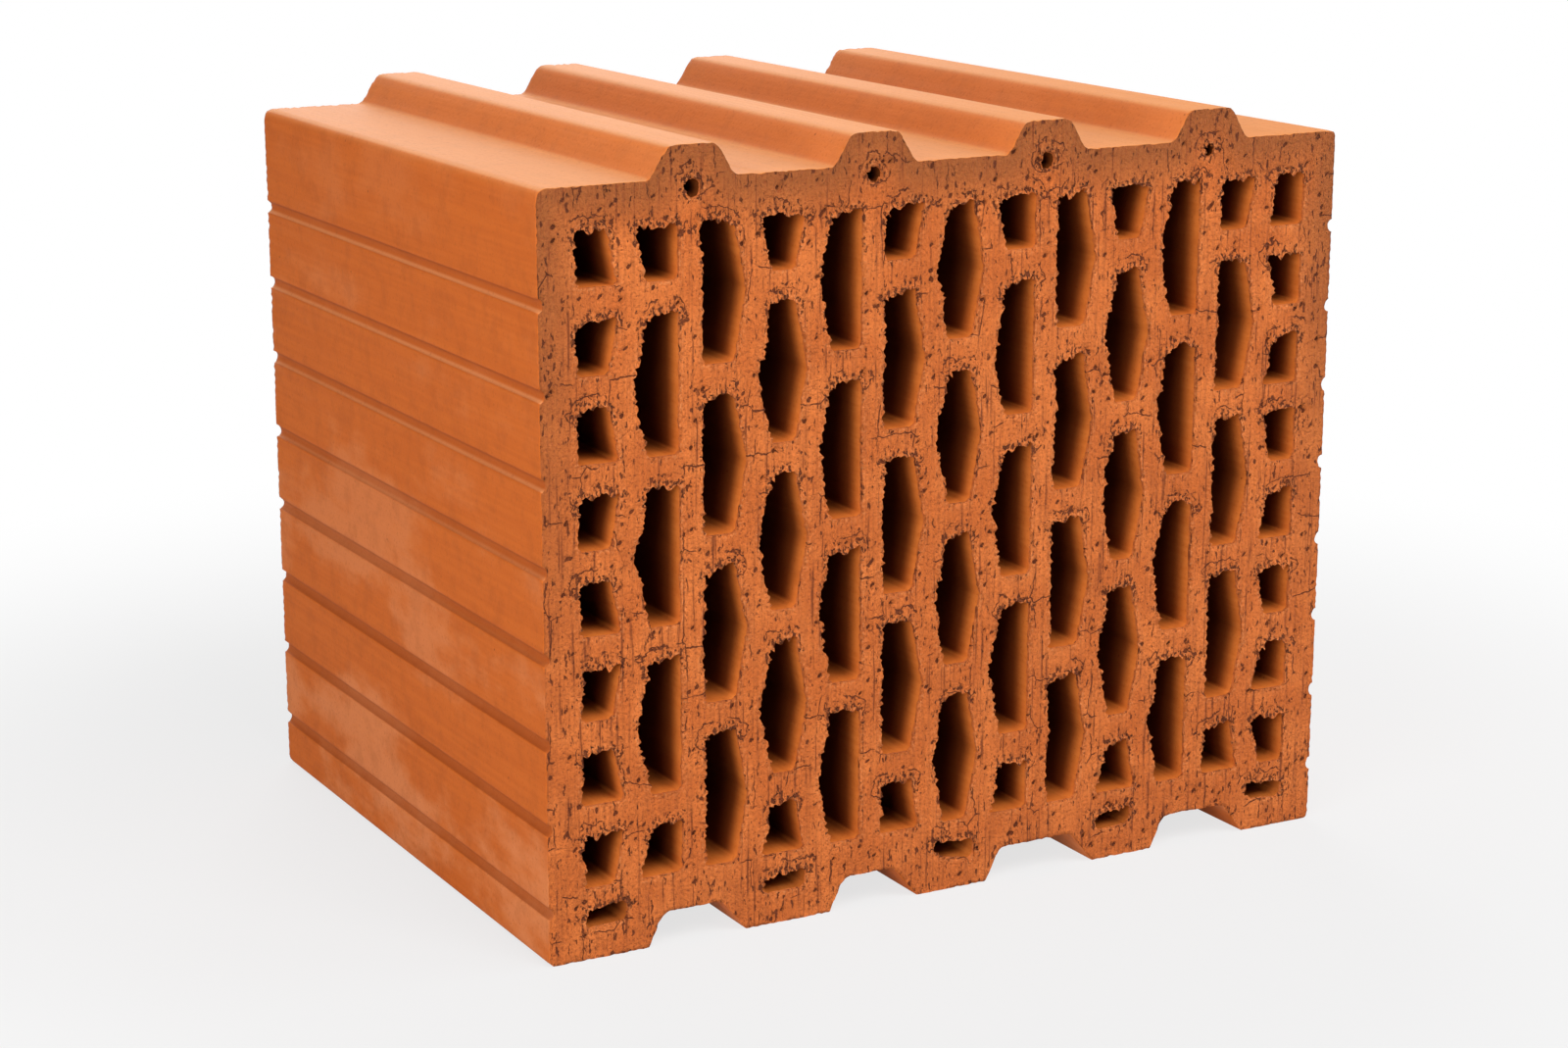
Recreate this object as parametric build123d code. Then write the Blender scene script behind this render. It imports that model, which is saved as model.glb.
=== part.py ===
from build123d import *
import os

# Fired clay block with cells right through, and tongues and grooves.
# X runs across the perforated cut faces, Y is the direction of extrusion,
# and Z runs from the grooved face (down) to the tongued face (up).
# The origin is the middle of the footprint, and all sizes are in millimetres.

NODE = "clay_block"

# Body of the block
width = 300.0
length = 238.0
height = 248.0
top_corner_radius = 4.5
bottom_corner_radius = 2.0

# Slots and tongues take turns across the block, half a pitch apart
slot_margin = 20.2
slot_count = 5
key_pitch = (width - 2 * slot_margin) / (slot_count - 1)

# Tongues on the upper face, each a rib with sloping sides
tongue_height = 10.4
tongue_base = 29.6
tongue_crest = 17.2
tongue_crest_radius = 3.0
tongue_root_radius = 2.5

# Grooves in the lower face, one under each tongue, which take the tongues of the next block.
# Each has its left and right edge, measured from its tongue's centre line.
groove_depth = 11.2
groove_edges = ((-17.6, 17.8), (-15.6, 18.0), (-19.4, 24.0), (-16.4, 23.2))
groove_left_flank = 5.5
groove_right_flank = 9.0
groove_roof_radius = 5.0
groove_mouth_radius = 1.0

# Scored lines along both outer sides, as a key for the plaster
score_radius = 2.45
score_depth = 1.5
score_count = 8
score_upper_margin = 35.6
score_lower_margin = 17.8
right_score_lift = 2.9

# Walls round the field of cells
top_wall = 12.7
base_wall = 23.9
outer_wall = 12.3

# Webs between the cells. Every third web across is straight and the others are wavy.
column_count = 13
row_count = 8
cross_web = 9.0
straight_web = 7.75
wavy_web = 8.8
wave_swing = 2.6
cell_corner = 1.2

# Small round hole under each tongue, and flat slot in each land between the grooves
pin_hole_radius = 2.3
pin_hole_cover = 1.1
slot_width = 14.6
slot_height = 6.4
slot_base = 11.0
slot_corner = 1.5

# Where the webs of the field fall
field_top = height - top_wall
column_pitch = (width - 2 * outer_wall + wavy_web) / column_count
row_pitch = (field_top - base_wall + cross_web) / row_count
tongue_centres = [(place - slot_count / 2 + 1) * key_pitch for place in range(slot_count - 1)]


def round_points(shape, places, radius):
    """Round the corners of a flat shape that lie at the given places."""
    corners = []
    for x, z in places:
        corners.append(shape.vertices().sort_by_distance(Vector(x, z, 0))[0])
    return fillet(corners, radius)


def outline():
    """Cross-section of the block without its cells, from the lower left corner round."""
    side = width / 2
    points = [(-side, 0)]
    roofs = []
    mouths = []
    for centre, (left, right) in zip(tongue_centres, groove_edges):
        mouths += [(centre + left, 0), (centre + right, 0)]
        roofs.append((centre + left + groove_left_flank, groove_depth))
        roofs.append((centre + right - groove_right_flank, groove_depth))
        points += [mouths[-2], roofs[-2], roofs[-1], mouths[-1]]
    points += [(side, 0), (side, height)]
    crests = []
    roots = []
    for centre in reversed(tongue_centres):
        top = height + tongue_height
        roots += [(centre + tongue_base / 2, height), (centre - tongue_base / 2, height)]
        crests += [(centre + tongue_crest / 2, top), (centre - tongue_crest / 2, top)]
        points += [roots[-2], crests[-2], crests[-1], roots[-1]]
    points += [(-side, height)]
    shape = make_face(Polyline(*points, close=True))
    shape = round_points(shape, roofs, groove_roof_radius)
    shape = round_points(shape, mouths, groove_mouth_radius)
    shape = round_points(shape, crests, tongue_crest_radius)
    shape = round_points(shape, roots, tongue_root_radius)
    shape = round_points(shape, [(-side, height), (side, height)], top_corner_radius)
    return round_points(shape, [(-side, 0), (side, 0)], bottom_corner_radius)


def score_lines():
    """Rounds that cut the scored lines into both outer sides."""
    cutters = []
    outside = width / 2 + score_radius - score_depth
    pitch = (height - score_upper_margin - score_lower_margin) / (score_count - 1)
    for row in range(score_count):
        z = score_lower_margin + row * pitch
        cutters.append(Pos(-outside, z) * Circle(score_radius))
        cutters.append(Pos(outside, z + right_score_lift) * Circle(score_radius))
    return cutters


def wave(z):
    """Triangle wave that is 1 in the middle of an even column's long cells and -1 between them."""
    crest = field_top + cross_web / 2 - 2 * row_pitch
    turns = (z - crest) / (2 * row_pitch)
    return 1 - 4 * abs(turns - round(turns))


def web_sides(number):
    """Left and right side of a web, each as a function that gives x at a height."""
    middle = (number - column_count / 2) * column_pitch
    if number % 3 == 2:
        half = straight_web / 2
        swing = 0
    else:
        half = wavy_web / 2
        swing = wave_swing if number % 2 == 0 else -wave_swing
    return (lambda z: middle - half + swing * wave(z), lambda z: middle + half + swing * wave(z))


def columns():
    """Left side, right side and rows of each column of cells, from left to right."""
    wall = width / 2 - outer_wall
    result = []
    for number in range(column_count):
        left = (lambda z: -wall) if number == 0 else web_sides(number)[1]
        right = (lambda z: wall) if number == column_count - 1 else web_sides(number + 1)[0]
        if number in (0, column_count - 1):
            rows = [1] * row_count
        elif number % 2 == 1:
            rows = [1] + [2] * (row_count // 2 - 1) + [1]
        else:
            rows = [2] * (row_count // 2)
        result.append((left, right, rows))
    return result


def cell(left, right, bottom, top, is_long):
    """One cell. A long one bends outward at half height wherever its web is wavy."""
    middle = (bottom + top) / 2
    heights = [bottom, middle, top] if is_long else [bottom, top]
    right_side = [(right(z), z) for z in heights]
    left_side = [(left(z), z) for z in reversed(heights)]
    corners = [right_side[0], right_side[-1], left_side[0], left_side[-1]]
    for side in (right_side, left_side):
        if is_long and abs(side[1][0] - side[0][0]) < wave_swing / 2:
            side.pop(1)
    shape = make_face(Polyline(*right_side, *left_side, close=True))
    places = [shape.vertices().sort_by_distance(Vector(x, z, 0))[0] for x, z in corners]
    return chamfer(places, cell_corner)


def cells():
    """All cells of the field."""
    result = []
    for left, right, rows in columns():
        top = field_top
        for count in rows:
            bottom = top - count * row_pitch + cross_web
            result.append(cell(left, right, bottom, top, count > 1))
            top = bottom - cross_web
    return result


def small_holes():
    """Round holes under the tongues and flat slots in the lands between the grooves."""
    hole_height = height - pin_hole_cover - pin_hole_radius
    result = [Pos(x, hole_height) * Circle(pin_hole_radius) for x in tongue_centres]
    for place in range(slot_count):
        slot = Rectangle(slot_width, slot_height)
        slot = chamfer(slot.vertices(), slot_corner)
        x = (place - (slot_count - 1) / 2) * key_pitch
        result.append(Pos(x, slot_base + slot_height / 2) * slot)
    return result


section = outline() - score_lines() - cells() - small_holes()
far_face = Plane(origin=(0, length / 2, 0), x_dir=(1, 0, 0), z_dir=(0, -1, 0))
block = extrude(far_face * section, length)
block.label = NODE

os.makedirs("parts", exist_ok=True)
export_step(block, "parts/" + NODE + ".step")
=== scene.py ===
# %% [markdown]
# # A fired clay block
# This lesson dresses a hollow clay block, the kind that walls are built of. The real one is
# pushed out of a die as a long column of wet clay, cut across with a wire, dried and fired.
# So it has two kinds of surface: skins that slid along the steel of the die, smooth and a
# little shiny, and two cut faces that the wire tore open, rough, pitted and cracked, with
# ragged lips round every cell.
#
# The first cell loads the solid model of the block. It sets the size and the place of
# everything, and the rest of the lesson only gives it its true surface.

# %% Load the block
import math
import random

import bmesh
import bpy
import numpy as np
from mathutils import Matrix, Vector, noise
from mathutils.kdtree import KDTree


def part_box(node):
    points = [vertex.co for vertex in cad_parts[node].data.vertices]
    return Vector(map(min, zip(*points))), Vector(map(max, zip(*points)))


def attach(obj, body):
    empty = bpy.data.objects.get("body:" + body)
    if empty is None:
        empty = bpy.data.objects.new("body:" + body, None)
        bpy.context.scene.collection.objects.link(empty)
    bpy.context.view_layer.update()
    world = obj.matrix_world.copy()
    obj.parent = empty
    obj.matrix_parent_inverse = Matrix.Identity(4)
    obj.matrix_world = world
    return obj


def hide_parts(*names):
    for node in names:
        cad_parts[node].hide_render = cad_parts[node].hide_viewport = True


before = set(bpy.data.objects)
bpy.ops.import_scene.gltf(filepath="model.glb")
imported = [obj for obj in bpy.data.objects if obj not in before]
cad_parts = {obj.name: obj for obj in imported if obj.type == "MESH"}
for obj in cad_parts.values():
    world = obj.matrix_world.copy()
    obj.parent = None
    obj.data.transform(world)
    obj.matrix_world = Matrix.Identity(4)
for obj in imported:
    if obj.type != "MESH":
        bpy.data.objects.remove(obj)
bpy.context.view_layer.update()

MM = 0.001
NODE = "clay_block"
low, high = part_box(NODE)
middle = (low + high) / 2
print("block:", [round(side / MM, 1) for side in high - low], "mm")

# %% [markdown]
# ## The camera
# The photograph looks at the block from the front left and from above. The edges that run
# back meet at one point on the left of the picture and the edges that run across meet far
# off on the right. Those two points give the turn of the camera and the length of its lens,
# and the size of the block in the picture gives the distance.

# %% Place the camera
AZIMUTH = -28.7
ELEVATION = 14.0
DISTANCE = 1148.4 * MM
LENS = 72.84
AIM = Vector((-2.5, -4.1, 102.3)) * MM
SIGHT = 50


def direction(azimuth, elevation):
    """Unit vector from the block towards a place given by its azimuth and height angle."""
    turn = math.radians(azimuth)
    rise = math.radians(elevation)
    return Vector((math.sin(turn) * math.cos(rise), -math.cos(turn) * math.cos(rise), math.sin(rise)))


camera = bpy.data.objects.new("camera", bpy.data.cameras.new("camera"))
bpy.context.scene.collection.objects.link(camera)
camera.data.lens = LENS
camera.data.clip_end = SIGHT
camera.location = AIM + direction(AZIMUTH, ELEVATION) * DISTANCE
camera.rotation_euler = (-direction(AZIMUTH, ELEVATION)).to_track_quat("-Z", "Y").to_euler()
bpy.context.scene.camera = camera
print("camera at", [round(value, 3) for value in camera.location])

# %% [markdown]
# ## The rims of the section
# The block is one section drawn out along Y, so all its shape is in the edge lines of its
# front face: the outline, the cells, the slots and the pin holes. This step copies the
# solid's mesh, welds its loose triangles and keeps only the rim of the front face. The rim
# is then cut into short steps, because the lips need corners to be ragged with.

# %% Cut the rim into short steps
RIM_STEP = 0.8 * MM
TOUCH = 0.00001


def front_rim(node):
    """Edges between the front face and the walls, alone in a mesh of their own."""
    work = bmesh.new()
    work.from_mesh(node.data)
    bmesh.ops.remove_doubles(work, verts=work.verts, dist=TOUCH)
    flat = {face for face in work.faces if all(abs(v.co.y - low.y) < TOUCH for v in face.verts)}
    rim = {edge for edge in work.edges if sum(face in flat for face in edge.link_faces) == 1}
    bmesh.ops.delete(work, geom=list(work.faces), context="FACES_ONLY")
    spare = [edge for edge in work.edges if edge not in rim]
    bmesh.ops.delete(work, geom=spare, context="EDGES")
    loose = [v for v in work.verts if not v.link_edges]
    bmesh.ops.delete(work, geom=loose, context="VERTS")
    return work


def shorten_edges(work, step):
    """Divide every edge that is longer than a step."""
    groups = {}
    for edge in work.edges:
        cuts = math.ceil(edge.calc_length() / step) - 1
        if cuts > 0:
            groups.setdefault(cuts, []).append(edge)
    for cuts, edges in groups.items():
        bmesh.ops.subdivide_edges(work, edges=edges, cuts=cuts)


block = front_rim(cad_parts[NODE])
shorten_edges(block, RIM_STEP)
print("rim:", len(block.verts), "points", len(block.edges), "edges")

# %% [markdown]
# ## Soft tongues and square corners
# The die shaped the four tongues a little softer than the drawing, with a round shoulder most
# of all on the left of each, and it left the two upper corners of the block nearly square. The
# tongues' points are smoothed along the rim again and again, the left halves more often,
# and the points of the drawn round corners are pushed out towards the square ones.

# %% Soften the tongues and square the corners
TONGUE_HEIGHT = 10.4 * MM
TONGUE_PITCH = 64.9 * MM
ROOT_CLEARANCE = 0.05 * MM
SOFTENING = {"whole": 5, "left": 9}
SMOOTHING = 0.5
CORNER_RADIUS = 4.5 * MM
SQUARENESS = {-1: 0.35, 1: 0.85}


def soften_tongues(work):
    """Smooth the shoulders of the tongues, the left ones more."""
    whole = [v for v in work.verts if v.co.z > high.z - TONGUE_HEIGHT + ROOT_CLEARANCE]
    left = [v for v in whole if (v.co.x / TONGUE_PITCH) % 1 < 0.5]
    for verts, count in ((whole, SOFTENING["whole"]), (left, SOFTENING["left"])):
        for _ in range(count):
            bmesh.ops.smooth_vert(
                work, verts=verts, factor=SMOOTHING, use_axis_x=True, use_axis_z=True
            )


def square_corner(work, side, squareness):
    """Push the drawn round of one upper corner out towards the square one."""
    centre_x = side * (high.x - CORNER_RADIUS)
    centre_z = high.z - TONGUE_HEIGHT - CORNER_RADIUS
    for v in work.verts:
        out, up = side * (v.co.x - centre_x), v.co.z - centre_z
        if out > 0 and up > 0:
            growth = 1 + squareness * (CORNER_RADIUS / max(out, up) - 1)
            v.co.x = centre_x + side * out * growth
            v.co.z = centre_z + up * growth


soften_tongues(block)
for side, squareness in SQUARENESS.items():
    square_corner(block, side, squareness)
print("rim after softening reaches up to", round(max(v.co.z for v in block.verts) / MM, 2), "mm")

# %% [markdown]
# ## Which rim is which
# The wire tore the clay differently at different rims. Cells are ragged along their top
# edge, where the wire dragged clay down into the hole, and toothed along their sides. The
# flat slots are torn and skewed, the pin holes are little ragged eyes, and the outline of
# the block stayed clean. So the rims are walked in order and told apart here.

# %% Walk and name the rims
SLOT_ZONE = 20 * MM
PIN_ZONE = 20 * MM
# Share of painted shade on the walls of the pin holes and the slots
SMALL_HOLE_SHADE = {"pin": 1.0, "slot": 0.5}


def walk_rims(work):
    """Each closed rim as a list of vertices in order."""
    seen = set()
    rims = []
    for start in list(work.verts):
        if start in seen:
            continue
        rim = [start]
        seen.add(start)
        step = start.link_edges[0].other_vert(start)
        while step is not start:
            rim.append(step)
            seen.add(step)
            ahead = [edge.other_vert(step) for edge in step.link_edges]
            step = ahead[0] if ahead[0] is not rim[-2] else ahead[1]
        rims.append(rim)
    return rims


def signed_area(points):
    """Area inside a ring of points, positive if they run anticlockwise."""
    following = np.roll(points, -1, axis=0)
    return 0.5 * np.sum(points[:, 0] * following[:, 1] - following[:, 0] * points[:, 1])


rim_number = block.verts.layers.int.new("rim_number")
near_lip = block.verts.layers.float.new("near_lip")
near_tear = block.verts.layers.float.new("near_tear")
near_skin = block.verts.layers.float.new("near_skin")
in_pit = block.verts.layers.float.new("in_pit")
small_hole_shade = block.verts.layers.float.new("small_hole_shade")
rims = []
for ring in walk_rims(block):
    points = np.array([(v.co.x, v.co.z) for v in ring])
    if signed_area(points) < 0:
        ring.reverse()
        points = points[::-1]
    rims.append({"points": points, "verts": ring, "area": abs(signed_area(points))})
rims.sort(key=lambda rim: -rim["area"])
counter = 0
for rim in rims:
    bottom, top = rim["points"][:, 1].min(), rim["points"][:, 1].max()
    if rim is rims[0]:
        rim["kind"] = "outline"
    elif top < low.z + SLOT_ZONE:
        rim["kind"] = "slot"
    elif bottom > high.z - PIN_ZONE:
        rim["kind"] = "pin"
    else:
        rim["kind"] = "cell"
    rim["first"] = counter
    for v in rim["verts"]:
        counter += 1
        v[rim_number] = counter
        v[small_hole_shade] = SMALL_HOLE_SHADE.get(rim["kind"], 0.0)
kinds = [rim["kind"] for rim in rims]
print({kind: kinds.count(kind) for kind in sorted(set(kinds))}, counter, "points")

# %% [markdown]
# ## Ragged lips
# Look along a cell's edge on a real cut: the wire ran downwards, so clay sagged over the top
# of each cell, most of all in its left corner, and crumbs stand out along the left side like
# the teeth of a comb, coarse ones with fine ones between them. The lower edge was sheared
# clean. The clay between the teeth is worn back a little, and round the slots and the pin
# holes it is worn back further, so that they stay open. Each of these is a sum of simple
# things: a sag that fades away down the cell, slow lumps from a noise, round crumbs and
# fine teeth from the size of finer noises, and uneven saw teeth.

# %% Work out how far each lip strays
# Size of a noise, and how far its slice lies from the seed
SLOW_LUMPS = (7 * MM, 9.5)
CRUMBS = (2.6 * MM, 4.5)
FINE_TEETH = (1.5 * MM, 6.5)
WEAR_LUMPS = (3 * MM, 0)

# For each kind of hole, the share of the roughness that each of its sides has, and the
# strength of its lumps and crumbs. Reaches, wear and sags are in millimetres.
STYLE = {
    "cell": {"top": 0.75, "left": 1.0, "right": 0.6, "foot": 0.15, "lumps": 0.45, "crumbs": 1.5},
    "slot": {"top": 0.75, "left": 0.8, "right": 0.8, "foot": 0.4, "lumps": 0.7, "crumbs": 0.9},
    "pin": {"top": 0.9, "left": 0.9, "right": 0.6, "foot": 0.6, "lumps": 0.8, "crumbs": 0.2},
}
WORN_BACK = {"cell": 0.35, "slot": 0.95, "pin": 0.9}
FINE_REACH = 0.75
SAW_LENGTH = (1.6 * MM, 4.4 * MM)
SAW_SHARE = (0.15, 1.0)
SAW_REACH = 1.35

# Least and most sag of each shape, and the power by which it fades across the cell
SAGS = {"left": (0.5, 3.0, 1.4), "arch": (0.6, 2.0, 1.6), "even": (0.2, 0.9, 0)}
SAG_SHAPES = ("left", "left", "left", "arch", "even")
SAG_DEPTH = 9 * MM
SLOT_SAG = 0.35
SLOT_SKEW = (0.10, -0.05, -0.26, 0.03, -0.20)
OUTLINE_WEAR = 0.32 * MM
FRONT_SEED, BACK_SEED = 11, 23


def openward(rim):
    """Unit vectors that point from the clay into the opening, one for each point of a rim."""
    points = rim["points"]
    run = np.roll(points, -1, axis=0) - np.roll(points, 1, axis=0)
    run /= np.linalg.norm(run, axis=1)[:, None]
    outward = np.stack([run[:, 1], -run[:, 0]], axis=1)
    return outward if rim["kind"] == "outline" else -outward


def distance_along(points):
    """Length walked from the first point of a rim to each of its points."""
    steps = np.linalg.norm(np.diff(points, axis=0), axis=1)
    return np.concatenate([[0.0], np.cumsum(steps)])


def saw_teeth(chance, along):
    """Uneven saw teeth between 0 and 1."""
    heights = np.zeros(len(along))
    start = 0.0
    while start <= along[-1]:
        length = chance.uniform(*SAW_LENGTH)
        inside = (along >= start) & (along < start + length)
        heights[inside] = chance.uniform(*SAW_SHARE) * (along[inside] - start) / length
        start += length
    return heights


def lumps(points, kind, seed):
    """Noise between about -1 and 1 at each point."""
    size, offset = kind
    return np.array([noise.noise(Vector((x / size, z / size, seed + offset))) for x, z in points]) * 2


def sag(chance, points):
    """How far the clay over a cell sank, at each point of its rim."""
    top = points[:, 1].max()
    roof = points[points[:, 1] > top - MM]
    left, right = roof[:, 0].min(), roof[:, 0].max()
    across = np.clip((points[:, 0] - left) / (right - left), 0, 1)
    depth = np.clip(1 - (top - points[:, 1]) / SAG_DEPTH, 0, 1)
    shape = chance.choice(SAG_SHAPES)
    least, most, fade = SAGS[shape]
    profile = np.abs(2 * across - 1) if shape == "arch" else 1 - across
    return chance.uniform(least, most) * profile ** fade * depth * MM


def lip_shift(seed):
    """Shift across and up of every rim point on one cut face."""
    chance = random.Random(seed)
    shift = np.zeros((counter, 2))
    slots = iter(SLOT_SKEW)
    for rim in sorted(rims, key=lambda rim: rim["points"][:, 0].mean()):
        points = rim["points"]
        facing = openward(rim)
        rows = slice(rim["first"], rim["first"] + len(points))
        if rim["kind"] == "outline":
            wear = np.abs(lumps(points, WEAR_LUMPS, seed)) * OUTLINE_WEAR
            shift[rows] = -facing * wear[:, None]
            continue
        style = STYLE[rim["kind"]]
        top, foot = np.clip(-facing[:, 1], 0, 1), np.clip(facing[:, 1], 0, 1)
        left, right = np.clip(facing[:, 0], 0, 1), np.clip(-facing[:, 0], 0, 1)
        rough = top * style["top"] + left * style["left"] + right * style["right"]
        rough += foot * style["foot"]
        teeth = saw_teeth(chance, distance_along(points)) * SAW_REACH
        slow = lumps(points, SLOW_LUMPS, seed) * style["lumps"]
        crumbs = np.abs(lumps(points, CRUMBS, seed)) * style["crumbs"]
        fine = np.abs(lumps(points, FINE_TEETH, seed)) * FINE_REACH
        stray = rough * (teeth - WORN_BACK[rim["kind"]] + slow) + top * crumbs + left * fine
        shift[rows] = facing * (stray * MM)[:, None]
        if rim["kind"] == "cell":
            shift[rows, 1] -= sag(chance, points)
        if rim["kind"] == "slot":
            shift[rows, 1] -= SLOT_SAG * sag(chance, points)
            shift[rows, 1] += next(slots) * (points[:, 0] - points[:, 0].mean())
    return shift


front_shift = lip_shift(FRONT_SEED)
back_shift = lip_shift(BACK_SEED)
print("lips stray up to", round(float(np.abs(front_shift).max()) / MM, 1), "mm")

# %% [markdown]
# ## The walls
# The rim is extruded back along Y in five stages: the lip itself, a ring a little way
# in, a ring where the wall is true again, and the same three in reverse at the far end.
# Between the true rings the walls run straight, as the die left them. Shifting only the outer
# rings makes every lip an overhanging crumb of clay, and not a dent in the whole cell.

# %% Extrude the rim into walls
UNDER_LIP = 1.3 * MM
THROAT = 3.2 * MM
UNDER_SHARE = 0.62
length = high.y - low.y


def shift_ring(verts, shift, share):
    """Move a ring of rim points by their share of the lips' shift."""
    for v in verts:
        across, up = shift[v[rim_number] - 1] * share
        v.co.x += across
        v.co.z += up


def next_ring(work, edges, step):
    """Extrude a ring of edges along Y and return the new edges and vertices."""
    made = bmesh.ops.extrude_edge_only(work, edges=edges)["geom"]
    verts = {item for item in made if isinstance(item, bmesh.types.BMVert)}
    bmesh.ops.translate(work, verts=list(verts), vec=(0, step, 0))
    ring = [item for item in made if isinstance(item, bmesh.types.BMEdge) and set(item.verts) <= verts]
    return ring, list(verts)


rings = [(list(block.edges), list(block.verts))]
for step in (UNDER_LIP, THROAT - UNDER_LIP, length - 2 * THROAT, THROAT - UNDER_LIP, UNDER_LIP):
    rings.append(next_ring(block, rings[-1][0], step))
lips = {low.y: rings[0], high.y: rings[-1]}
shift_ring(rings[0][1], front_shift, 1)
shift_ring(rings[1][1], front_shift, UNDER_SHARE)
shift_ring(rings[4][1], back_shift, UNDER_SHARE)
shift_ring(rings[5][1], back_shift, 1)
print("walls:", len(block.faces), "faces")

# %% [markdown]
# ## The cut faces
# A cut face needs many small faces, so that its relief can be real and not painted. A
# regular grid is laid on it, every grid point that falls in an opening or close to a lip
# is deleted, and the strips left between the grid and the lips are filled with triangles.
# A grid point is inside the clay if a line drawn to it from the left crosses the rims an odd
# number of times.

# %% Fill the cut faces
GRID_STEP = {low.y: 1.4 * MM, high.y: 1.7 * MM}
CLEARANCE = 0.62         # least distance from a grid point to a lip, in steps of the grid


def tree_of(verts):
    """Search tree over some vertices."""
    tree = KDTree(len(verts))
    for index, v in enumerate(verts):
        tree.insert(v.co, index)
    tree.balance()
    return tree


def rows_of_clay(ring_edges, heights):
    """For each height, the sorted places where the lips cross it."""
    ends = np.array([[(v.co.x, v.co.z) for v in edge.verts] for edge in ring_edges])
    x1, z1, x2, z2 = ends[:, 0, 0], ends[:, 0, 1], ends[:, 1, 0], ends[:, 1, 1]
    rows = []
    for z in heights:
        crossing = (z1 <= z) != (z2 <= z)
        share = (z - z1[crossing]) / (z2[crossing] - z1[crossing])
        rows.append(np.sort(x1[crossing] + share * (x2[crossing] - x1[crossing])))
    return rows


def lay_grid(work, y, step):
    """A regular grid of faces over the whole cut face, one unit wide before it is placed."""
    across = round((high.x - low.x) / step)
    up = round((high.z - low.z) / step)
    place = Matrix.Translation((middle.x, y, middle.z)) @ Matrix.Rotation(math.pi / 2, 4, "X")
    place = place @ Matrix.Diagonal((high.x - low.x, high.z - low.z, 1, 1))
    made = bmesh.ops.create_grid(work, x_segments=across, y_segments=up, size=0.5, matrix=place)
    return made["verts"]


def trim_grid(work, grid, ring_edges, ring_verts, step):
    """Delete the grid's points in the openings and near the lips, and any pinched corner."""
    tree = tree_of(ring_verts)
    heights = sorted({round(v.co.z, 7) for v in grid})
    rows = dict(zip(heights, rows_of_clay(ring_edges, heights)))
    doomed = []
    for v in grid:
        crossed = np.searchsorted(rows[round(v.co.z, 7)], v.co.x)
        if crossed % 2 == 0 or tree.find(v.co)[2] < CLEARANCE * step:
            doomed.append(v)
    grid = set(grid) - set(doomed)
    while doomed:
        bmesh.ops.delete(work, geom=doomed, context="VERTS")
        bare = {edge for v in grid for edge in v.link_edges if not edge.link_faces}
        bmesh.ops.delete(work, geom=list(bare), context="EDGES")
        grid = {v for v in grid if v.is_valid}
        doomed = [v for v in grid if sum(edge.is_boundary for edge in v.link_edges) > 2]
        doomed += [v for v in grid if not v.link_faces]
        grid -= set(doomed)
    return grid


def connected(edges):
    """Groups of edges that hang together."""
    left = set(edges)
    groups = []
    for start in edges:
        if start not in left:
            continue
        left.discard(start)
        group, front = [start], [start]
        while front:
            near = {edge for v in front.pop().verts for edge in v.link_edges} & left
            left -= near
            group += near
            front += near
        groups.append(group)
    return groups


def spread(edges):
    """Lowest and highest corner of some edges, as numbers across and up."""
    points = np.array([(v.co.x, v.co.z) for edge in edges for v in edge.verts])
    return points.min(axis=0), points.max(axis=0)


def box_area(edges):
    """Area of the flat box around some edges."""
    lowest, highest = spread(edges)
    return np.prod(highest - lowest)


def holds(box, spot):
    """Whether a flat box holds a spot."""
    return bool(np.all(box[0] < spot) and np.all(spot < box[1]))


def fill_strips(work, grid, ring_edges, facing):
    """Fill the strips between the grid and the lips, one opening at a time."""
    borders = connected([edge for v in grid for edge in v.link_edges if edge.is_boundary])
    borders.sort(key=box_area)
    boxes = [spread(edges) for edges in borders]
    groups = [list(edges) for edges in borders]
    openings = connected(ring_edges)
    openings.sort(key=box_area)
    groups[-1] += openings.pop()
    for edges in openings:
        spot = sum(spread(edges)) / 2
        around = [place for place, border in enumerate(boxes) if holds(border, spot)]
        groups[around[0]] += edges
    made = []
    for edges in groups:
        made += bmesh.ops.triangle_fill(work, use_beauty=True, edges=edges, normal=facing)["geom"]
    return [item for item in made if isinstance(item, bmesh.types.BMFace)]


caps = {}
for y, (ring_edges, ring_verts) in lips.items():
    facing = Vector((0, -1 if y == low.y else 1, 0))
    grid = trim_grid(block, lay_grid(block, y, GRID_STEP[y]), ring_edges, ring_verts, GRID_STEP[y])
    strips = fill_strips(block, grid, ring_edges, facing)
    caps[y] = grid
    print("cut face at y =", round(y, 3), ":", len(grid), "grid points", len(strips), "strip triangles")
print("open edges:", sum(not edge.is_manifold for edge in block.edges))

# %% [markdown]
# ## Relief of the cut
# A wire that drags through wet clay leaves faint upright ridges, and it rips grains out of the
# face, most of all just above each cell, where the clay had nothing to lean on. The
# grid points are pushed into the block by slow noises and by a few hundred small pits.
# Four numbers are kept on every point for the finish: how near it is to a lip, to
# the torn upper edge of a cell, to the outer skin of the block and to the middle of a pit.

# %% Press the relief into the cut faces
LIP_REACH = 2.6 * MM
TORN_REACH = 7.5 * MM
SKIN_REACH = 20 * MM
LIP_GRAIN = 2 * MM
LIP_CRUMBLE = 0.35 * MM
DOWNWARD = -0.5
RELIEF_SEED = {low.y: 31, high.y: 47}

# Pits on each face, and their least and greatest radius and depth in millimetres
PIT_COUNT = 320
PIT_RADIUS = (0.9, 1.9)
PIT_DEPTH = (0.4, 1.2)

# Depth of a noise, its size across and up, all in millimetres, and its offset from the seed
MEAN_DEPTH = 0.22
WAVES = (0.16, 14, 20, 0)
RIDGES = (0.16, 2.2, 32, 3)
GRAINS = (0.26, 2.4, 2.4, 5)
RIPS = (1.3, 3.4, 2.4, 7)
CRUMBLE = (0.7, 2.5, 2.5, 8)

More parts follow.
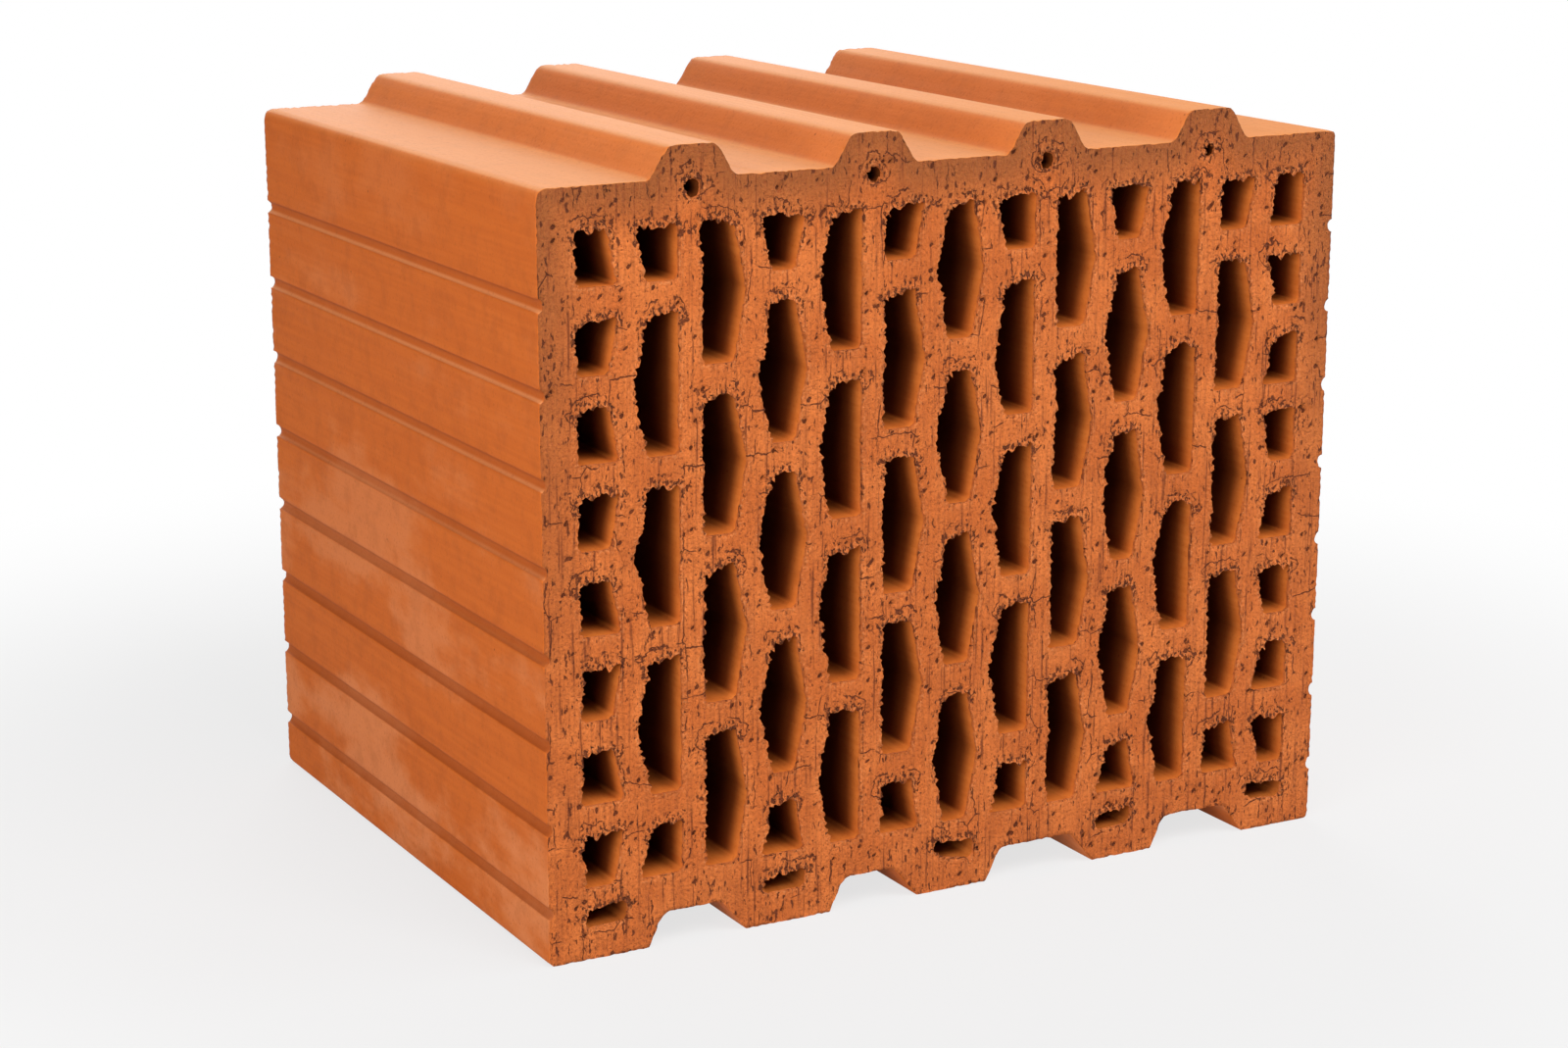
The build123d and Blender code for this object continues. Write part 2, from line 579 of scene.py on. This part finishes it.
# Which way each rim point faces, and whether it is on the rim of a hole
facings = np.concatenate([openward(rim) for rim in rims])
is_hole = np.concatenate([np.full(len(rim["points"]), rim["kind"] != "outline") for rim in rims])


def closeness(tree, spot, reach):
    """1 at the nearest point of the tree, falling to 0 at its reach."""
    return max(0.0, 1 - tree.find(spot)[2] / reach)


def ripple(spot, kind, seed):
    """One noise of the relief at a spot, in millimetres."""
    depth, across, up, offset = kind
    return depth * noise.noise(Vector((spot.x / MM / across, spot.z / MM / up, seed + offset)))


def relief(spot, tear, lip, seed):
    """Depth of the cut face below the wire's plane at one spot."""
    depth = MEAN_DEPTH
    for kind in (WAVES, RIDGES, GRAINS):
        depth += ripple(spot, kind, seed)
    depth += tear * max(0.0, ripple(spot, RIPS, seed))
    depth += lip * abs(ripple(spot, CRUMBLE, seed))
    return depth * MM


def press(y, grid, seed):
    """Push one cut face's relief in, and note how near its points are to the lips and tears."""
    chance = random.Random(seed)
    inward = 1 if y == low.y else -1
    ring = sorted(lips[y][1], key=lambda v: v[rim_number])
    hole_lips = [v for v in ring if is_hole[v[rim_number] - 1]]
    tops = [v for v in hole_lips if facings[v[rim_number] - 1][1] < DOWNWARD]
    rind = [v for v in ring if not is_hole[v[rim_number] - 1]]
    lip_tree, top_tree, skin_tree = tree_of(hole_lips), tree_of(tops), tree_of(rind)
    points = sorted(grid, key=lambda v: (round(v.co.z, 6), round(v.co.x, 6)))
    for v in points + ring:
        v[near_lip] = closeness(lip_tree, v.co, LIP_REACH)
        v[near_tear] = closeness(top_tree, v.co, TORN_REACH)
        v[near_skin] = closeness(skin_tree, v.co, SKIN_REACH)
    sink = {v: relief(v.co, v[near_tear], v[near_lip], seed) for v in points}
    sink.update({v: abs(noise.noise(v.co / LIP_GRAIN)) * LIP_CRUMBLE for v in ring})
    tree = tree_of(points)
    for _ in range(PIT_COUNT):
        centre = points[chance.randrange(len(points))].co.copy()
        radius = chance.uniform(*PIT_RADIUS) * MM
        depth = chance.uniform(*PIT_DEPTH) * MM
        for _, index, away in tree.find_range(centre, radius):
            share = 1 - away / radius
            sink[points[index]] += depth * share
            points[index][in_pit] = max(points[index][in_pit], share)
    for v, depth in sink.items():
        v.co.y = y + inward * max(0.0, depth)
    return max(sink.values())


for y, grid in caps.items():
    deepest = press(y, grid, RELIEF_SEED[y])
    print("relief at y =", round(y, 3), "is up to", round(deepest / MM, 2), "mm deep")

# %% [markdown]
# ## One closed piece
# The mesh is closed, so its faces can all be turned outwards. Each face is then told which of
# three finishes it has: torn by the wire, slid along the die, or left by the cores that
# formed the cells. The finished piece stands in for the plain solid.

# %% Finish the mesh
TORN, SKIN, CELL = range(3)
SHARP_ANGLE = math.radians(38)
CUT_FACING = 0.9
bmesh.ops.recalc_face_normals(block, faces=block.faces)
for face in block.faces:
    numbers = [v[rim_number] for v in face.verts]
    depth = min(min(v.co.y - low.y, high.y - v.co.y) for v in face.verts)
    face.smooth = True
    if 0 in numbers or abs(face.normal.y) > CUT_FACING:
        face.material_index = TORN
    elif not is_hole[numbers[0] - 1]:
        face.material_index = SKIN
    else:
        face.material_index = TORN if depth < UNDER_LIP / 2 else CELL
mesh = bpy.data.meshes.new("fired_clay_block")
block.to_mesh(mesh)
block.free()
mesh.set_sharp_from_angle(angle=SHARP_ANGLE)
piece = bpy.data.objects.new("fired_clay_block", mesh)
bpy.context.scene.collection.objects.link(piece)
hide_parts(NODE)
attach(piece, "root")
triangles = sum(len(face.vertices) - 2 for face in mesh.polygons)
print("fired_clay_block:", triangles, "triangles")

# %% [markdown]
# ## Colour and nodes
# The next cells make the three finishes. Colours are written as on a screen and turned to
# linear light by one function. One more helper adds a shader node with its settings and
# links. A finish is then laid in thin layers, as the eye reads it: first the plain clay, and
# over it each stain, pit or crumb in its own colour, wherever a pattern is strong enough.
# Every pattern is worked out from a real size, because a noise with a scale of 1 / size
# repeats about once in that length.

# %% Helpers for materials
CLAY_ORANGE = "#C9672B"
CLAY_IOR = 1.5


def linear(code):
    """Linear colour of an sRGB hex code."""
    parts = [int(code[place:place + 2], 16) / 255 for place in (1, 3, 5)]
    parts = [c / 12.92 if c <= 0.04045 else ((c + 0.055) / 1.055) ** 2.4 for c in parts]
    return (*parts, 1.0)


def add_node(tree, kind, *values, **named):
    """Add a shader node. Names in small letters are settings, and all other values are inputs.

    An input is a number, a colour, or a node or an output to link to it.
    """
    node = tree.nodes.new("ShaderNode" + kind)
    for name, value in named.items():
        if name.islower():
            setattr(node, name, value)
    sockets = [socket for socket in node.inputs if socket.enabled]
    inputs = list(zip(sockets, values))
    for name, value in named.items():
        if not name.islower():
            inputs.append((next(s for s in sockets if s.name == name.replace("_", " ")), value))
    for socket, value in inputs:
        if isinstance(value, bpy.types.Node):
            value = next(output for output in value.outputs if output.enabled)
        if isinstance(value, bpy.types.NodeSocket):
            tree.links.new(value, socket)
        else:
            socket.default_value = value
    return node


def new_material(name):
    """An empty material, its node tree, and the object coordinates its patterns use."""
    material = bpy.data.materials.new(name)
    material.use_nodes = True
    tree = material.node_tree
    tree.nodes.clear()
    return material, tree, add_node(tree, "TexCoord").outputs["Object"]


def weave(tree, place, patterns):
    """Uneven patterns by name, each from its size along X, Y and Z, its detail and its roughness."""
    woven = {}
    for name, (sizes, detail, rough) in patterns.items():
        spot = add_node(tree, "Mapping", Vector=place, Scale=[1 / side for side in sizes])
        noise_node = add_node(tree, "TexNoise", Vector=spot, Scale=1, Detail=detail, Roughness=rough)
        woven[name] = noise_node.outputs["Fac"]
    return woven


def lay_colours(tree, level, base, layers):
    """Lay layers over a base colour.

    Each layer has the level it follows, where that starts and is full, its strength, the
    second level that holds it back (or None) and its colour.
    """
    colour = add_node(tree, "RGB")
    colour.outputs[0].default_value = linear(base)
    for name, start, full, strength, mask, code in layers:
        share = add_node(
            tree, "MapRange", level[name], start, full, 0, strength, interpolation_type="SMOOTHSTEP"
        )
        if mask:
            share = add_node(tree, "Math", share, level[mask], operation="MULTIPLY")
        colour = add_node(tree, "Mix", share, colour, linear(code), data_type="RGBA")
    return colour


def finish_clay(tree, level, base, layers, bumps, roughness, gloss):
    """Join a finish's colours and bumps to its shader.

    Each bump has the level it follows and the depth in metres that a level of 1 stands for.
    """
    normal = add_node(tree, "NewGeometry").outputs["Normal"]
    for name, depth in bumps:
        normal = add_node(tree, "Bump", Height=level[name], Distance=depth, Normal=normal)
    clay = add_node(
        tree, "BsdfPrincipled", Base_Color=lay_colours(tree, level, base, layers), Normal=normal,
        Roughness=roughness, IOR=CLAY_IOR, Specular_IOR_Level=gloss
    )
    add_node(tree, "OutputMaterial", clay)


print("clay orange in linear light:", [round(part, 3) for part in linear(CLAY_ORANGE)])

# %% [markdown]
# ## Torn clay
# The cut faces are fired clay that a wire tore open. The eye sees a matt, grainy orange brown,
# browner near the skin, with faint upright drag lines, dark pits where grains were
# ripped out, hairline cracks from drying, short clefts above the cells where the sagging
# clay came away, and crumbs at their lips that are painted paler, a painted highlight.
# Each of those is one pattern here. Pits and tears are the low spots of fine noises, and
# there are more of them above the cells. The cracks are the borders of a Voronoi pattern with
# its coordinates bent by a noise, kept only where a slow noise lets them through. A cleft is
# a thin band at one distance above a cell, swayed by the same noise. A few white grains of
# lime are the middles of a wide Voronoi pattern.

# %% Torn clay
GRAIN = (1.1 * MM, 1.1 * MM, 1.1 * MM)
CRACK_SIZE = (12 * MM, 12 * MM, 15 * MM)
CRACK_BEND = (2 * MM, 0, 2.6 * MM)
CRACK_DISORDER = 0.35
GRIT_SPACING = 13 * MM
LIP_TEARING = 0.65
CLEFT_SWAY = 0.9
CLEFT_PLACE = 0.95

# Where a level starts to show and where it is full, and for the last the values it has there
CRACK_EDGE = (0.018, 0.008)
CRACK_ZONE = (0.55, 0.61)
CLEFT_EDGE = (0.055, 0.02)
CLEFT_ZONE = (0.47, 0.42)
SOME_GRIT = (0.2, 0.15)
UPPER = (0.3 * high.z, 0.93 * high.z, 0.1, 1)
TORN_PATTERNS = {
    "drift": ((16 * MM, 16 * MM, 16 * MM), 3, 0.5),
    "grain": (GRAIN, 4, 0.62),
    "drag": ((1.2 * MM, 40 * MM, 30 * MM), 2, 0.5),
    "pits": ((1.3 * MM, 1.3 * MM, 3.4 * MM), 3, 0.5),
    "tears": ((1.2 * MM, 1.2 * MM, 1.9 * MM), 4, 0.6),
    "zone": ((13 * MM, 13 * MM, 13 * MM), 1, 0.5),
    "bend": ((3 * MM, 3 * MM, 3 * MM), 2, 0.5),
}
TORN_LAYERS = (
    ("drift", 0.35, 0.7, 1, None, "#DB7737"),
    ("near_skin", 0, 1, 1, "upper", "#9C5628"),
    ("drag", 0.6, 0.35, 0.3, None, "#8A4520"),
    # Painted highlight: the grains near the lips are painted paler, like lit crumbs
    ("grain", 0.5, 0.62, 0.5, "near_lip", "#DE8F58"),
    ("grain", 0.48, 0.28, 1, None, "#8F431D"),
    ("drag", 0.385, 0.32, 0.75, None, "#6E3014"),
    ("hollow", 0, 1, 0.85, None, "#552009"),
    ("grit", 0.045, 0.025, 1, "some_grit", "#E9DCCB"),
)
TORN_BUMPS = (("tears", 1.5 * MM), ("grain", 0.6 * MM), ("drag", 0.5 * MM), ("hollow", -0.7 * MM))

# A level, a second one that is added to it times a factor, and where the sum starts and is full
HOLLOWS = (
    ("pits", "near_skin", -0.03, 0.35, 0.31),
    ("tears", "near_hole", -0.2, 0.275, 0.215),
    ("in_pit", "tears", -1.2, -0.1, 0.06),
)


def torn_clay():
    """Material of the two cut faces."""
    material, tree, place = new_material("wire_cut_torn_clay")
    level = weave(tree, place, TORN_PATTERNS)
    for name in ("near_lip", "near_tear", "near_skin", "in_pit"):
        level[name] = add_node(tree, "Attribute", attribute_name=name).outputs["Fac"]
    height = add_node(tree, "SeparateXYZ", place).outputs["Z"]
    level["upper"] = add_node(tree, "MapRange", height, *UPPER)

    # Cracks: thin lines on the bent borders of large cells, in some zones only
    bend = add_node(tree, "CombineXYZ", level["bend"], 0, level["bend"])
    bent = add_node(tree, "VectorMath", bend, CRACK_BEND, place, operation="MULTIPLY_ADD")
    spot = add_node(tree, "Mapping", Vector=bent, Scale=[1 / side for side in CRACK_SIZE])
    edges = add_node(
        tree, "TexVoronoi", Vector=spot, Scale=1, Randomness=CRACK_DISORDER,
        feature="DISTANCE_TO_EDGE"
    )
    cracks = add_node(tree, "MapRange", edges, *CRACK_EDGE, interpolation_type="SMOOTHSTEP")
    zone = add_node(tree, "MapRange", level["zone"], *CRACK_ZONE, interpolation_type="SMOOTHSTEP")
    cracks = add_node(tree, "Math", cracks, zone, operation="MULTIPLY")

    # Clefts: arched lines a little above some cells, where the sagging clay came away
    cleft = add_node(
        tree, "Math", level["bend"], CLEFT_SWAY, level["near_tear"], operation="MULTIPLY_ADD"
    )
    cleft = add_node(tree, "Math", cleft, CLEFT_PLACE, operation="SUBTRACT")
    cleft = add_node(tree, "Math", cleft, operation="ABSOLUTE")
    cleft = add_node(tree, "MapRange", cleft, *CLEFT_EDGE, interpolation_type="SMOOTHSTEP")
    zone = add_node(tree, "MapRange", level["zone"], *CLEFT_ZONE, interpolation_type="SMOOTHSTEP")
    cleft = add_node(tree, "Math", cleft, zone, operation="MULTIPLY")
    hollow = add_node(tree, "Math", cracks, cleft, operation="MAXIMUM")

    # Pits and tears: low spots, lower still near torn lips and at the pressed pits
    torn = add_node(
        tree, "Math", level["near_lip"], LIP_TEARING, level["near_tear"], operation="MULTIPLY_ADD"
    )
    level["near_hole"] = add_node(tree, "Math", torn, 1, operation="MINIMUM")
    for name, other, pull, start, full in HOLLOWS:
        low_spot = add_node(tree, "Math", level[other], pull, level[name], operation="MULTIPLY_ADD")
        share = add_node(tree, "MapRange", low_spot, start, full, interpolation_type="SMOOTHSTEP")
        hollow = add_node(tree, "Math", hollow, share, operation="ADD", use_clamp=True)
    level["hollow"] = hollow

    # Lime grit: the middles of a few cells of a wide pattern
    spot = add_node(tree, "Mapping", Vector=place, Scale=[1 / GRIT_SPACING] * 3)
    grit = add_node(tree, "TexVoronoi", Vector=spot, Scale=1)
    level["grit"] = grit.outputs["Distance"]
    level["some_grit"] = add_node(tree, "MapRange", grit.outputs["Color"], *SOME_GRIT)

    finish_clay(tree, level, CLAY_ORANGE, TORN_LAYERS, TORN_BUMPS, roughness=0.9, gloss=0.25)
    return material


piece.data.materials.append(torn_clay())
print("material:", piece.data.materials[TORN].name)

# %% [markdown]
# ## Skins
# The outer skin slid along the steel of the die, which pressed the grains down and left
# a slip of fine clay on top. It is smoother and shows fine streaks along the way it was
# pushed, a soft shine at a low angle and pale clouds of bloom, which are salts that
# the drying water left behind. The bloom is painted stronger low down, which is partly
# painted light for the brighter lower skin. The faces of the upper side that turn up are
# painted paler, a painted highlight. The scored lines get painted shade, most on their faces
# turned down, and high up a painted highlight on their lower edges. The cells were formed by
# steel cores. They look the same but cleaner, without bloom, and get painted shade of a deep
# brown where they lead into the block, their floors less than their walls. The slots and pin
# holes get painted shade too. Both finishes share their streaks, grain and pinholes, and each
# has its own table of layers, so that either can be changed by itself.

# %% Die-smoothed skins
BLOOM = (40 * MM, 85 * MM, 40 * MM)
MOTTLE = (9 * MM, 9 * MM, 9 * MM)
STREAK = (1.6 * MM, 70 * MM, 1.6 * MM)
PINHOLE_SPACING = 9 * MM
SCORED_FROM = low.z + 13 * MM
SCORED_TO = low.z + 218 * MM
# Share of the scored lines' painted shade left on their upward faces high up
LEAST_GROOVE_SHADE = 0.3

# Where a level starts and where it is full, some with the values that it has there
LOW_DOWN = (low.z, high.z, 0.65, 0.1)
AT_TOP = (high.z - 20 * MM, high.z - 10 * MM)
SET_BACK = (high.x - 0.1 * MM, high.x - 0.5 * MM)
UP_HIGH = (low.z + 90 * MM, low.z + 170 * MM)
GROOVE_SHADE_SPAN = (-0.6, 0.4, 1)
NOT_FLOOR = (0.3, 0.8, 1, 0.3)
INSIDE_SHADE = (length / 2 - 0.5 * MM, length / 2 - 24 * MM)
SOME_PINHOLES = (0.3, 0.25)

CORE_PATTERNS = {
    "mottle": (MOTTLE, 4, 0.6),
    "streak": (STREAK, 3, 0.5),
    "grain": (GRAIN, 3, 0.5),
}
DIE_PATTERNS = {**CORE_PATTERNS, "bloom": (BLOOM, 5, 0.6)}
SKIN_BUMPS = (("grain", 0.12 * MM), ("streak", 0.06 * MM))
DIE_LAYERS = (
    ("streak", 0.25, 0.75, 1, None, "#C96626"),
    # Bloom patches of the skin's own, painted stronger low down, which is partly painted light for the
    # brighter lower skin
    ("bloom", 0.46, 0.62, 1, "low_down", "#DC8A58"),
    ("mottle", 0.55, 0.3, 0.22, None, "#93461C"),
    # Painted shade in the scored lines, most on faces turned down, and a painted highlight on the lower
    # edges of the upper lines
    ("scored", 0, 1, 0.6, "groove_shade", "#93461C"),
    ("facing_up", 0.3, 0.7, 0.6, "groove_highlight", "#E59A62"),
    # Painted highlight: the top's faces that turn up are painted paler, the flats most
    ("facing_up", 0.1, 0.5, 0.3, "at_top", "#D6894C"),
    ("facing_up", 0.65, 0.97, 0.45, "at_top", "#DEA062"),
    ("grain", 0.45, 0.25, 0.3, None, "#964318"),
    ("pinholes", 0.06, 0.03, 0.6, "some_pinholes", "#5A2611"),
)
CORE_LAYERS = (
    ("streak", 0.25, 0.75, 1, None, "#D97A35"),
    ("mottle", 0.55, 0.3, 0.22, None, "#A04818"),
    ("grain", 0.45, 0.25, 0.3, None, "#964318"),
    ("pinholes", 0.06, 0.03, 0.6, "some_pinholes", "#5A2611"),
    # Painted shade deep in the cells, less on their floors, where light from above falls
    ("inside", 0, 0.42, 0.84, "not_floor", "#5A250D"),
    ("inside", 0.2, 0.8, 0.6, None, "#300F05"),
    # Painted shade on the walls of the slots and pin holes
    ("small_hole_shade", 0, 1, 0.85, None, "#3A1608"),
)


def die_levels(tree, spot, facing):
    """What the bloom and the painted light and shade of the outer skin follow, beside its patterns."""
    height, upright = spot.outputs["Z"], facing.outputs["Z"]
    level = {"facing_up": upright}
    # Low down: where the bloom, partly painted light, is strongest
    level["low_down"] = add_node(tree, "MapRange", height, *LOW_DOWN)
    level["at_top"] = add_node(tree, "MapRange", height, *AT_TOP)

    # Scored lines: set back from the sides, between the first line and the last
    aside = add_node(tree, "Math", spot.outputs["X"], operation="ABSOLUTE")
    scored = add_node(tree, "MapRange", aside, *SET_BACK)
    for start, full in ((SCORED_FROM - MM, SCORED_FROM), (SCORED_TO + MM, SCORED_TO)):
        share = add_node(tree, "MapRange", height, start, full)
        scored = add_node(tree, "Math", scored, share, operation="MULTIPLY")
    level["scored"] = scored

    # High up, the lines' lower edges get a painted highlight, and low down painted shade fills them all
    # over
    up_high = add_node(tree, "MapRange", height, *UP_HIGH)
    level["groove_highlight"] = add_node(tree, "Math", scored, up_high, operation="MULTIPLY")
    least = add_node(tree, "MapRange", up_high, 0, 1, 1, LEAST_GROOVE_SHADE)
    level["groove_shade"] = add_node(tree, "MapRange", upright, *GROOVE_SHADE_SPAN, least)
    return level


def core_levels(tree, spot, facing):
    """What the painted shade inside the cells and holes follows, beside their patterns."""
    small_hole_shade = add_node(tree, "Attribute", attribute_name="small_hole_shade")
    level = {"small_hole_shade": small_hole_shade.outputs["Fac"]}
    # Floors, which face up, take less of the painted shade than the walls
    level["not_floor"] = add_node(tree, "MapRange", facing.outputs["Z"], *NOT_FLOOR)

    # Inside: how far a wall is from the nearer cut face, which sets the painted shade deep in the cells
    from_middle = add_node(tree, "Math", spot.outputs["Y"], operation="ABSOLUTE")
    level["inside"] = add_node(tree, "MapRange", from_middle, *INSIDE_SHADE)
    return level


def smooth_clay(name, patterns, more_levels, base, layers, roughness, gloss):
    """Material of clay that slid along steel."""
    material, tree, place = new_material(name)
    level = weave(tree, place, patterns)
    spot = add_node(tree, "SeparateXYZ", place)
    facing = add_node(tree, "SeparateXYZ", add_node(tree, "TexCoord").outputs["Normal"])
    level.update(more_levels(tree, spot, facing))

    # Pinholes: the middles of a few cells of a wide pattern
    holes = add_node(tree, "Mapping", Vector=place, Scale=[1 / PINHOLE_SPACING] * 3)
    holes = add_node(tree, "TexVoronoi", Vector=holes, Scale=1)
    level["pinholes"] = holes.outputs["Distance"]
    level["some_pinholes"] = add_node(tree, "MapRange", holes.outputs["Color"], *SOME_PINHOLES)

    finish_clay(tree, level, base, layers, SKIN_BUMPS, roughness, gloss)
    return material


for finish in (
    smooth_clay("die_smoothed_clay", DIE_PATTERNS, die_levels, "#C15F22", DIE_LAYERS, 0.7, 0.1),
    smooth_clay("core_smoothed_clay", CORE_PATTERNS, core_levels, "#D0712F", CORE_LAYERS, 0.9, 0.02),
):
    piece.data.materials.append(finish)
print("materials:", [material.name for material in piece.data.materials])

# %% [markdown]
# ## Floor and backdrop
# The block stands in a white studio. The floor keeps the block's soft shadow, and further
# out it fades into the white of the backdrop. The camera and the reflections see
# a backdrop of strength 1, while the light that it gives the block is set on its own, low,
# so that the cells stay dark inside.

# %% Floor and backdrop
FLOOR_RADIUS = 3.0
FLOOR_SIDES = 96
FADE_START = 0.24
FADE_END = 0.58
FLOOR_GLOW = 0.74
FLOOR_PAINT = 0.45
WORLD_LIGHT = 0.1


def seen_directly(tree):
    """1 for the rays that show the backdrop: camera, glossy and transmission rays."""
    path = add_node(tree, "LightPath")
    seen = path.outputs["Is Camera Ray"]
    for kind in ("Is Glossy Ray", "Is Transmission Ray"):
        seen = add_node(tree, "Math", seen, path.outputs[kind], operation="ADD", use_clamp=True)
    return seen


def white_floor():
    """Floor that takes shadows near the block and fades into the white backdrop."""
    material, tree, place = new_material("white_studio_floor")
    away = add_node(tree, "VectorMath", place, operation="LENGTH")
    glow = add_node(
        tree, "MapRange", away, FADE_START, FADE_END, FLOOR_GLOW, 1, interpolation_type="SMOOTHSTEP"
    )
    glow = add_node(tree, "Math", glow, seen_directly(tree), operation="MULTIPLY")
    paint = add_node(tree, "BsdfDiffuse", Color=(FLOOR_PAINT, FLOOR_PAINT, FLOOR_PAINT, 1))
    white = add_node(tree, "Emission", Color=(1, 1, 1, 1), Strength=1)
    add_node(tree, "OutputMaterial", add_node(tree, "MixShader", glow, paint, white))
    return material


disc = bmesh.new()
bmesh.ops.create_circle(disc, cap_ends=True, segments=FLOOR_SIDES, radius=FLOOR_RADIUS)
floor_mesh = bpy.data.meshes.new("studio_floor")
disc.to_mesh(floor_mesh)
disc.free()
floor = bpy.data.objects.new("studio_floor", floor_mesh)
bpy.context.scene.collection.objects.link(floor)
floor.data.materials.append(white_floor())

world = bpy.data.worlds.new("white_backdrop")
world.use_nodes = True
world.node_tree.nodes.clear()
sky = world.node_tree
sky_level = add_node(sky, "MapRange", seen_directly(sky), 0, 1, WORLD_LIGHT, 1)
backdrop = add_node(sky, "Background", Color=(1, 1, 1, 1), Strength=sky_level)
add_node(sky, "OutputWorld", backdrop)
bpy.context.scene.world = world
print("floor:", floor.name, "world:", world.name)

# %% [markdown]
# ## Lamps
# Five large soft lamps light the block from all round. The left and right lamps stand low and
# far out to the sides, so that they rake across the cut face, show its grain and leave the
# depth of the cells dark. The front lamp is high, and lights the floors of the
# cells just inside their mouths. The top and back lamps are there for the upper face and
# for whoever walks round the block. Each row has an azimuth and a height angle in degrees,
# a distance and a size in metres, and the brightness of a white card turned to the lamp.
# A card at a distance d needs about (pi d) squared watts for a brightness of 1.

# %% Lamps
LAMPS = {
    "left_lamp": (-56, 12, 1.5, 1.0, 0.83),
    "right_lamp": (64, 14, 1.8, 1.2, 0.68),
    "front_lamp": (8, 50, 1.8, 0.9, 0.62),
    "top_lamp": (-20, 80, 1.8, 1.2, 0.15),
    "back_lamp": (166, 22, 1.8, 1.2, 0.8),
}
for name, (azimuth, elevation, distance, size, level) in LAMPS.items():
    data = bpy.data.lights.new(name, "AREA")
    data.shape = "SQUARE"
    data.size = size
    data.energy = level * (math.pi * distance) ** 2
    lamp = bpy.data.objects.new(name, data)
    lamp.location = middle + direction(azimuth, elevation) * distance
    lamp.rotation_euler = direction(azimuth, elevation).to_track_quat("Z", "Y").to_euler()
    lamp.visible_camera = False
    bpy.context.scene.collection.objects.link(lamp)
    print(name, "gives a white card turned to it a brightness of", level)
bpy.context.scene.view_settings.view_transform = "Standard"
